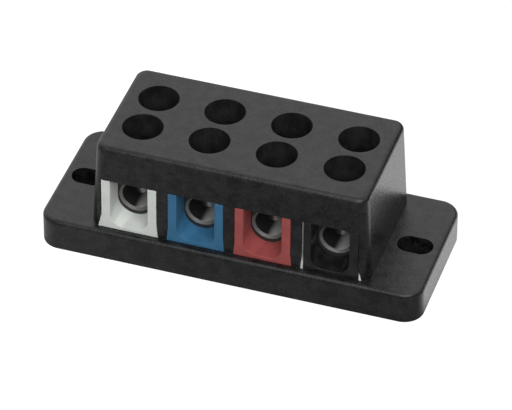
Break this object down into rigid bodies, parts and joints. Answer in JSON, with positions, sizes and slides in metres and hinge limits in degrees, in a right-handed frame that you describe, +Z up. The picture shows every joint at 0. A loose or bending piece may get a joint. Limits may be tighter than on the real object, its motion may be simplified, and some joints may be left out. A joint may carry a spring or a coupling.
{
  "type": "barrier terminal strip",
  "caption": "Enclosed barrier terminal strip with a slotted base flange, screwdriver access holes in the top and coloured wire entries at front and rear.",
  "frame": {"origin": "centre of the base flange's underside", "axes": "+X along the row of poles, +Y from the front wire entries towards the rear ones, +Z up, out of the access holes"},
  "size_m": [0.1, 0.0396, 0.0334],
  "materials": {
    "housing": "moulded phenolic, fine satin grain",
    "guide_white": "moulded thermoplastic, satin",
    "guide_blue": "moulded thermoplastic, satin",
    "guide_red": "moulded thermoplastic, satin",
    "guide_black": "moulded thermoplastic, glossy",
    "lug": "tin plated, dull",
    "screw": "zinc plated"
  },
  "bodies": {
    "body": {"housing": "housing", "guide_front_1": "guide_white", "guide_front_2": "guide_blue", "guide_front_3": "guide_red", "guide_front_4": "guide_black", "guide_rear_1": "guide_white", "guide_rear_2": "guide_blue", "guide_rear_3": "guide_red", "guide_rear_4": "guide_black", "lug_1": "lug", "lug_2": "lug", "lug_3": "lug", "lug_4": "lug"},
    "screw_front_1": {"screw_front_1": "screw"},
    "screw_front_2": {"screw_front_2": "screw"},
    "screw_front_3": {"screw_front_3": "screw"},
    "screw_front_4": {"screw_front_4": "screw"},
    "screw_rear_1": {"screw_rear_1": "screw"},
    "screw_rear_2": {"screw_rear_2": "screw"},
    "screw_rear_3": {"screw_rear_3": "screw"},
    "screw_rear_4": {"screw_rear_4": "screw"}
  },
  "joints": [
    {"name": "screw_front_1_travel", "type": "slide", "parent": "body", "child": "screw_front_1", "axis": [0, 0, 1], "range_m": [-0.0012, 0.0055]},
    {"name": "screw_front_2_travel", "type": "slide", "parent": "body", "child": "screw_front_2", "axis": [0, 0, 1], "range_m": [-0.0012, 0.0055]},
    {"name": "screw_front_3_travel", "type": "slide", "parent": "body", "child": "screw_front_3", "axis": [0, 0, 1], "range_m": [-0.0012, 0.0055]},
    {"name": "screw_front_4_travel", "type": "slide", "parent": "body", "child": "screw_front_4", "axis": [0, 0, 1], "range_m": [-0.0012, 0.0055]},
    {"name": "screw_rear_1_travel", "type": "slide", "parent": "body", "child": "screw_rear_1", "axis": [0, 0, 1], "range_m": [-0.0012, 0.0055]},
    {"name": "screw_rear_2_travel", "type": "slide", "parent": "body", "child": "screw_rear_2", "axis": [0, 0, 1], "range_m": [-0.0012, 0.0055]},
    {"name": "screw_rear_3_travel", "type": "slide", "parent": "body", "child": "screw_rear_3", "axis": [0, 0, 1], "range_m": [-0.0012, 0.0055]},
    {"name": "screw_rear_4_travel", "type": "slide", "parent": "body", "child": "screw_rear_4", "axis": [0, 0, 1], "range_m": [-0.0012, 0.0055]}
  ]
}
